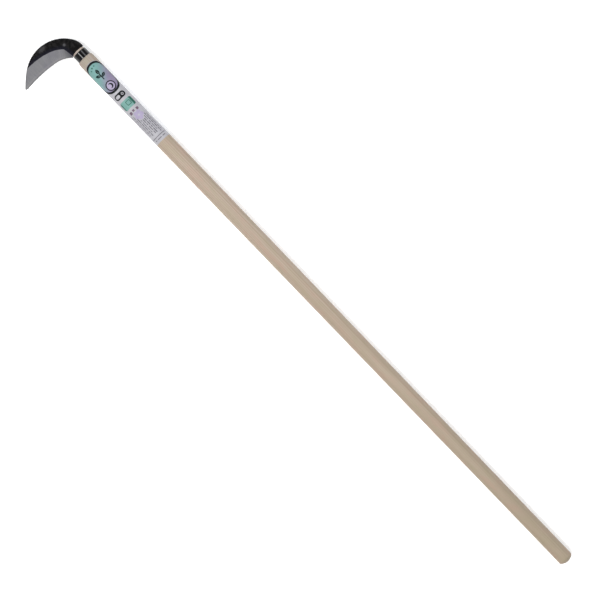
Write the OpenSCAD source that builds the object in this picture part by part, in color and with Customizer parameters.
// Long-handled grass sickle: a curved forged blade whose tang is wedged and pinned in the
// nose of a turned wooden handle, with a ferrule round the nose and a printed wrap behind it.
// The tool lies on a floor, where it rests on its handle and on the tip of its blade.
// Frame: the origin is the centre of the small flat on the butt, +X runs along the handle to
// the head, +Y is the side that the blade points to, and +Z is up.

/* [Handle] */
// Length of the wood, from the butt to the end of the nose
handle_length = 1198; // [700:2:1400]
// Diameter of the straight grip at the butt
grip_d = 26.5; // [24:0.5:28]
// Length of the straight grip
grip_length = 120; // [60:5:200]
// Diameter of the wood just behind the ferrule
head_d = 30; // [28:0.5:32]
// Diameter of the small flat on the butt
butt_flat_d = 8; // [4:0.5:10]
// Diameter of the turned nose that the ferrule sits on
nose_d = 24; // [23:0.5:24]

/* [Ferrule] */
// Outside diameter of the ferrule
ferrule_d = 26; // [25.5:0.5:27]
// Length of the ferrule
ferrule_length = 14; // [10:1:25]
// Bare wood that stands out of the ferrule
nose_proud = 3.5; // [2.5:0.5:5]

/* [Blade] */
// Reach of the tip from the handle's axis
blade_reach = 111; // [105:1:125]
// Thickness of the blade at its back
blade_t = 3; // [2.4:0.1:4]
// Thickness left at the cutting edge
edge_t = 0.25; // [0.15:0.05:0.4]
// Thickness of the hard steel under the bevel
steel_t = 0.8; // [0.5:0.1:1.2]
// Width of the hard steel on the flat side of the blade
steel_w = 9; // [6:0.5:12]

/* [Tang] */
// Length of the tang inside the handle
tang_length = 68; // [50:1:90]
// Width of the tang at the mouth of the mortise
tang_w = 12; // [11:0.5:14]
// Diameter of the cross pin
pin_d = 3; // [2:0.5:4]
// Distance of the cross pin from the end of the nose
pin_setback = 45; // [42:1:47]
// Length of the wedge beside the tang
wedge_length = 32; // [20:1:38]
// Thickness of the wedge at the mouth of the mortise
wedge_t = 2.2; // [1.5:0.1:3]

/* [Label] */
// Length of the wrap, from its tail to the top of its arch
label_length = 179; // [120:1:200]
// Distance from the ferrule to the top of the arch
label_gap = 13; // [8:1:16]
// Thickness of the film
label_t = 0.15; // [0.1:0.05:0.3]
// Height of the arch above the rest of the wrap
arch_height = 12; // [6:0.5:14]

/* [Hidden] */
$fn = 96;

// Turned handle: a domed butt, and a shoulder that falls to the ferrule.
dome_r = 18;
butt_corner_r = 5;
shoulder_r = 3.4;
nose_land = 0.1;
nose_round = nose_proud - nose_land;
dome_steps = 5;
corner_steps = 6;
shoulder_steps = 6;
nose_steps = 6;
grip_start = 8;
grip_end = grip_start + grip_length;
ferrule_front = handle_length - nose_proud;
ferrule_back = ferrule_front - ferrule_length;
shoulder_drop = (head_d - ferrule_d) / 2;
swell_end = ferrule_back - sqrt(pow(shoulder_r, 2) - pow(shoulder_r - shoulder_drop, 2));
ferrule_edge = 0.4;
ferrule_lip = 0.3;
ferrule_round = 1.6;
ferrule_steps = 5;

// Label: the arch's crown is this round, seen from above.
label_front = ferrule_back - label_gap;
label_back = label_front - label_length;
arch_r = 16;

// Tang, pin and wedge
tang_tip_w = 8;
mortise_spare = 1;
pin_recess = 0.2;
pin_slack = 0.1;
wedge_tip_t = 0.6;
wedge_w = 9;

// Blade outline, drawn for a reach of 111 with its origin on the axis at the end of the nose.
// The back, the cutting edge and the bevel line are two tangent arcs each, as [centre, radius],
// and a third arc eases the back into the straight side of the neck.
drawn_reach = 111;
blade_scale = blade_reach / drawn_reach;
back_near = [[-15.4, 47.7], 65.5];
back_far = [[-94.6, -6], 161.2];
edge_near = [[-37.3, 49.6], 49.7];
edge_far = [[-232, 83.1], 247.3];
bevel_near = [[-23.4, 56.1], 58.5];
bevel_far = [[-94.6, 79.9], 133.6];
neck_back = -12.7;
neck_r = 30;
tip = [[18.4, 109], [16.3, 111], [14.6, 109.6]];
back_tip_angle = 44.2;
edge_tip_angle = 5.4;
heel_angle = -44.5;
bevel_heel = [[-2, 11.6], [18.6, 15.2]];
arc_steps = 20;
neck_steps = 6;

// The heel reaches back beside the rounded nose, and stays this far off the wood.
seat_gap = 0.2;
seat_end_angle = 70;
seat_steps = 5;

// Cutters: how far they run past what they cut, and the sweep of the bevel cutter
cutter_over = 2;
cutter_heel_angle = -48;
cutter_tip_angle = 8;
bevel_least = 1.5;
cutter_height = blade_t * (1 + cutter_over / bevel_least) + cutter_over;

// Stamped dimple in the black face
dimple_at = [23.2, 9.7];
dimple_d = 6;
dimple_depth = 0.5;
dimple_ball_r = (pow(dimple_d / 2, 2) + pow(dimple_depth, 2)) / (2 * dimple_depth);

// The blade's side of the tool drops until the tip meets the floor under the handle.
label_r = head_d / 2 + label_t;
rest_roll = asin((label_r - blade_t / 2) / blade_reach);

function direction(a) = [cos(a), sin(a)];
function on_arc(arc, a) = arc[0] + arc[1] * direction(a);
function arc_points(arc, from, to, steps) =
    [for (i = [0:steps]) on_arc(arc, from + (to - from) * i / steps)];
// Angle at which two tangent arcs meet, seen from either centre
function joint_angle(near, far) = atan2(near[0].y - far[0].y, near[0].x - far[0].x);
// Arc of the given radius that joins the level line at y to the inside of another arc
function rounded_neck(y, r, arc) =
    let (rise = arc[0].y - y - r)
    [[arc[0].x + sqrt(pow(arc[1] - r, 2) - pow(rise, 2)), y + r], r];
// Distance along a ray to the far side of a circle, and to a straight line
function ray_to_arc(p, d, arc) =
    let (f = p - arc[0], b = f * d)
    sqrt(max(0, b * b - f * f + pow(arc[1], 2))) - b;
function cross2(a, b) = a.x * b.y - a.y * b.x;
function ray_to_line(p, d, line) =
    let (along = line[1] - line[0])
    cross2(line[0] - p, along) / cross2(d, along);

back_joint = joint_angle(back_near, back_far);
bevel_joint = joint_angle(bevel_near, bevel_far);
edge_joint = joint_angle(edge_near, edge_far);
back_neck = rounded_neck(neck_back, neck_r, back_near);
neck_joint = joint_angle(back_neck, back_near);

// Radius of the swelling part of the handle at a place along it
function handle_r(x) =
    grip_d / 2 + (head_d - grip_d) / 2 * (x - grip_end) / (swell_end - grip_end);

// Turned profile of the handle as [radius, place along the axis]
function butt_profile() =
    let (
        flat_r = butt_flat_d / 2,
        dome_x = sqrt(pow(dome_r, 2) - pow(flat_r, 2)),
        corner_y = grip_d / 2 - butt_corner_r,
        corner_angle = asin(corner_y / (dome_r - butt_corner_r)),
        corner_x = dome_x - (dome_r - butt_corner_r) * cos(corner_angle),
        flat_angle = asin(flat_r / dome_r)
    )
    concat(
        [[0, 0]],
        [for (i = [0:dome_steps]) let (a = flat_angle + (corner_angle - flat_angle) * i / dome_steps)
            [dome_r * sin(a), dome_x - dome_r * cos(a)]],
        [for (i = [1:corner_steps]) let (a = corner_angle + (90 - corner_angle) * i / corner_steps)
            [corner_y + butt_corner_r * sin(a), corner_x - butt_corner_r * cos(a)]]
    );
function shoulder_profile() =
    let (end_angle = acos((shoulder_r - shoulder_drop) / shoulder_r))
    [for (i = [0:shoulder_steps]) let (a = end_angle * i / shoulder_steps)
        [head_d / 2 - shoulder_r * (1 - cos(a)), swell_end + shoulder_r * sin(a)]];
function nose_profile() = concat(
    [[nose_d / 2, ferrule_back]],
    [for (i = [0:nose_steps]) let (a = 90 * i / nose_steps)
        [nose_d / 2 - nose_round * (1 - cos(a)), handle_length - nose_round * (1 - sin(a))]],
    [[0, handle_length]]
);
function handle_profile() =
    concat(butt_profile(), [[grip_d / 2, grip_end]], shoulder_profile(), nose_profile());

// Turned profile of the ferrule, with a rounded front, from its back as [radius, place]
function ferrule_profile() =
    let (wall = (ferrule_d - nose_d) / 2 - ferrule_lip)
    concat(
        [[nose_d / 2, 0], [ferrule_d / 2 - ferrule_edge, 0], [ferrule_d / 2, ferrule_edge]],
        [for (i = [0:ferrule_steps]) let (a = 90 * i / ferrule_steps)
            [ferrule_d / 2 - wall * (1 - cos(a)), ferrule_length - ferrule_round * (1 - sin(a))]],
        [[nose_d / 2, ferrule_length]]
    );

// Outlines in the blade's plane
function tang_outline(extra) = [
    [0, tang_w / 2],
    [-tang_length - extra, tang_tip_w / 2],
    [-tang_length - extra, -tang_tip_w / 2],
    [0, -tang_w / 2]
];
function seat_outline() =
    let (
        centre = [-nose_round, nose_d / 2 - nose_round],
        r = nose_round + seat_gap,
        start_angle = acos(nose_round / r)
    )
    arc_points([centre, r], seat_end_angle, start_angle, seat_steps);
function blade_outline() = concat(
    blade_scale * concat(
        [[0, neck_back]],
        arc_points(back_neck, -90, neck_joint, neck_steps),
        arc_points(back_near, neck_joint, back_joint, arc_steps),
        arc_points(back_far, back_joint, back_tip_angle, arc_steps),
        tip,
        arc_points(edge_far, edge_tip_angle, edge_joint, arc_steps),
        arc_points(edge_near, edge_joint, heel_angle, arc_steps)
    ),
    seat_outline(),
    tang_outline(0)
);
// Places along the cutting edge as [point, direction across the blade to its back]
function edge_stations() = concat(
    [for (i = [0:arc_steps])
        let (a = cutter_heel_angle + (edge_joint - cutter_heel_angle) * i / arc_steps)
        [on_arc(edge_near, a), direction(a)]],
    [for (i = [1:arc_steps])
        let (a = edge_joint + (cutter_tip_angle - edge_joint) * i / arc_steps)
        [on_arc(edge_far, a), direction(a)]]
);
// Width of the bevel, from the cutting edge to the line where the black face starts
function bevel_width(p, d) =
    let (
        near = ray_to_arc(p, d, bevel_near),
        hit = p + near * d - bevel_near[0],
        curved = atan2(hit.y, hit.x) > bevel_joint ? ray_to_arc(p, d, bevel_far) : near
    )
    max(bevel_least, min(curved, ray_to_line(p, d, bevel_heel)));
// One section of the bevel cutter, whose sloping side is the bevel
function bevel_section(p, d) =
    let (
        w = bevel_width(p, d) * blade_scale,
        slope = (blade_t - edge_t) / w,
        low = p * blade_scale - cutter_over * d,
        high = p * blade_scale + (w + cutter_over) * d
    )
    [
        [low.x, low.y, edge_t - slope * cutter_over],
        [high.x, high.y, blade_t + slope * cutter_over],
        [high.x, high.y, cutter_height],
        [low.x, low.y, cutter_height]
    ];

module bevel_cutter() {
    stations = edge_stations();
    count = len(stations);
    points = [for (s = stations) each bevel_section(s[0], s[1])];
    sides = [
        for (i = [0:count - 2], j = [0:3])
            let (a = 4 * i + j, b = 4 * i + (j + 1) % 4)
            each [[a, b, b + 4], [a, b + 4, a + 4]]
    ];
    last = 4 * (count - 1);
    ends = [[0, 2, 1], [0, 3, 2], [last + 3, last + 1, last + 2], [last + 3, last, last + 1]];
    polyhedron(points, concat(sides, ends));
}

// The strip along the cutting edge that is hard steel
module steel_strip() {
    stations = edge_stations();
    near = [for (s = stations) s[0] * blade_scale - cutter_over * s[1]];
    far = [for (i = [len(stations) - 1:-1:0]) stations[i][0] * blade_scale + steel_w * stations[i][1]];
    translate([0, 0, -cutter_over])
        linear_extrude(steel_t + cutter_over) polygon(concat(near, far));
}

module ground_blade() {
    difference() {
        linear_extrude(blade_t) polygon(blade_outline());
        bevel_cutter();
    }
}

// Turns a shape from the tool's own plane to the way it lies on the floor
module at_rest() {
    rotate([-rest_roll, 0, 0]) children();
}

// Puts a shape drawn on the underside of the blade at the end of the nose
module at_nose() {
    at_rest() translate([handle_length, 0, -blade_t / 2]) children();
}

module along_axis() {
    rotate([0, 90, 0]) children();
}

module wedge_shape() {
    at_nose() translate([0, wedge_w / 2, blade_t])
        rotate([90, 0, 0])
        linear_extrude(wedge_w)
        polygon([[0, 0], [0, wedge_t], [-wedge_length, wedge_tip_t], [-wedge_length, 0]]);
}

module cross_pin(d, length) {
    at_rest() translate([handle_length - pin_setback, 0, 0])
        cylinder(d = d, h = length, center = true);
}

module handle() {
    color("burlywood")
    difference() {
        along_axis() rotate_extrude() polygon(handle_profile());
        at_nose() linear_extrude(blade_t) polygon(tang_outline(mortise_spare));
        wedge_shape();
        cross_pin(pin_d, 2 * head_d);
    }
}

module ferrule() {
    color("#1c1c1f")
    translate([ferrule_back, 0, 0]) along_axis()
        rotate_extrude() polygon(ferrule_profile());
}

module blade() {
    color("#2b2b30")
    at_nose()
    difference() {
        ground_blade();
        steel_strip();
        translate([-pin_setback, 0, -cutter_over])
            cylinder(d = pin_d + pin_slack, h = blade_t + 2 * cutter_over);
        translate([
            dimple_at.x * blade_scale,
            dimple_at.y * blade_scale,
            blade_t + dimple_ball_r - dimple_depth
        ]) sphere(dimple_ball_r);
    }
}

module edge_steel() {
    color("silver")
    at_nose()
    intersection() {
        ground_blade();
        steel_strip();
    }
}

module tang_wedge() {
    color("peru") wedge_shape();
}

module tang_pin() {
    color("gray")
    cross_pin(pin_d, 2 * (handle_r(handle_length - pin_setback) - pin_recess));
}

module label() {
    color("#b8b8c4")
    difference() {
        label_wall(label_back, label_front, label_t);
        label_wall(label_back - cutter_over, label_front + cutter_over, 0);
        label_arch_cut();
    }
}

// Solid of revolution that follows the handle's swell, proud of it by the given thickness
module label_wall(from, to, proud) {
    translate([from, 0, 0]) along_axis()
        cylinder(h = to - from, r1 = handle_r(from) + proud, r2 = handle_r(to) + proud);
}

// Leaves a round arch on the upper side, and a square end lower down, on the rest of the wrap
module label_arch_cut() {
    crown_x = label_front - arch_r;
    block = 2 * head_d;
    difference() {
        translate([label_front - arch_height, -block / 2, -block / 2])
            cube([block, block, block]);
        translate([crown_x, 0, 0]) cylinder(r = arch_r, h = block);
    }
}

handle();
ferrule();
blade();
edge_steel();
tang_wedge();
tang_pin();
label();
